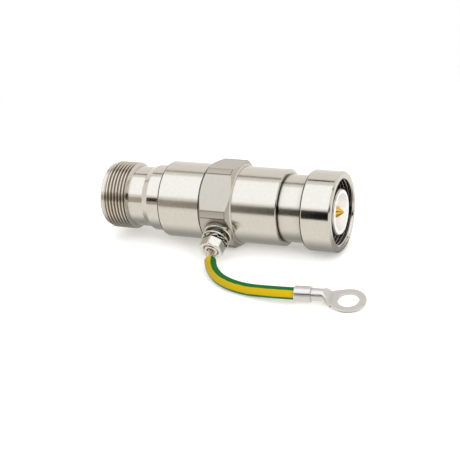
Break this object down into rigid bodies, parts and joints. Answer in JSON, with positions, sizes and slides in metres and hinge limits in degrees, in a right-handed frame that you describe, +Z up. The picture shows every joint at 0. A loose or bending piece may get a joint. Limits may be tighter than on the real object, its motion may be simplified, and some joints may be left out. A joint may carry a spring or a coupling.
{
  "type": "coax lightning arrestor",
  "caption": "Inline coaxial surge arrestor: threaded female port, hexagonal body with a gas-tube cap and ground stud, coupling-nut male port, and a striped ground lead with a ring lug.",
  "frame": {"origin": "on the line's axis, at the middle of the female port's thread", "axes": "+X runs along the line to the male port, +Z is up as the part lies on its hexagon and ground nut, and the ground stud leans to -Y"},
  "size_m": [0.1312, 0.0762, 0.0351],
  "materials": {
    "nickel": "satin nickel plate over turned brass",
    "tin": "dull tin plate over copper",
    "zinc": "bright plated steel",
    "gold": "gold plate",
    "silver": "silver plated brass",
    "copper": "twisted bare copper strands",
    "ptfe": "white fluoropolymer, turned",
    "ceramic": "white alumina",
    "rubber": "black sealing rubber",
    "insulation": "extruded vinyl, yellow with green stripes"
  },
  "bodies": {
    "arrestor": {"female_shell": "nickel", "sleeve": "nickel", "main_body": "nickel", "male_shell": "nickel", "gas_tube_cap": "nickel", "ground_stud": "nickel", "female_insulator": "ptfe", "male_insulator": "ptfe", "female_socket": "gold", "male_pin": "gold", "centre_line": "silver", "front_o_ring": "rubber", "rear_o_ring": "rubber", "male_o_ring": "rubber", "cap_o_ring": "rubber", "face_gasket": "rubber", "snap_ring": "zinc", "contact_spring": "zinc", "plain_washer": "zinc", "lock_washer": "zinc", "ground_nut": "zinc", "gas_tube_inner_electrode": "tin", "gas_tube_outer_electrode": "tin", "gas_tube_ceramic": "ceramic", "wire_core": "copper", "wire_insulation": "insulation", "ring_lug": "tin"},
    "nut": {"coupling_nut": "nickel"}
  },
  "joints": [
    {"name": "coupling_nut_spin", "type": "hinge", "parent": "arrestor", "child": "nut", "pos_m": [0.087, 0, 0], "axis": [1, 0, 0], "continuous": true}
  ]
}
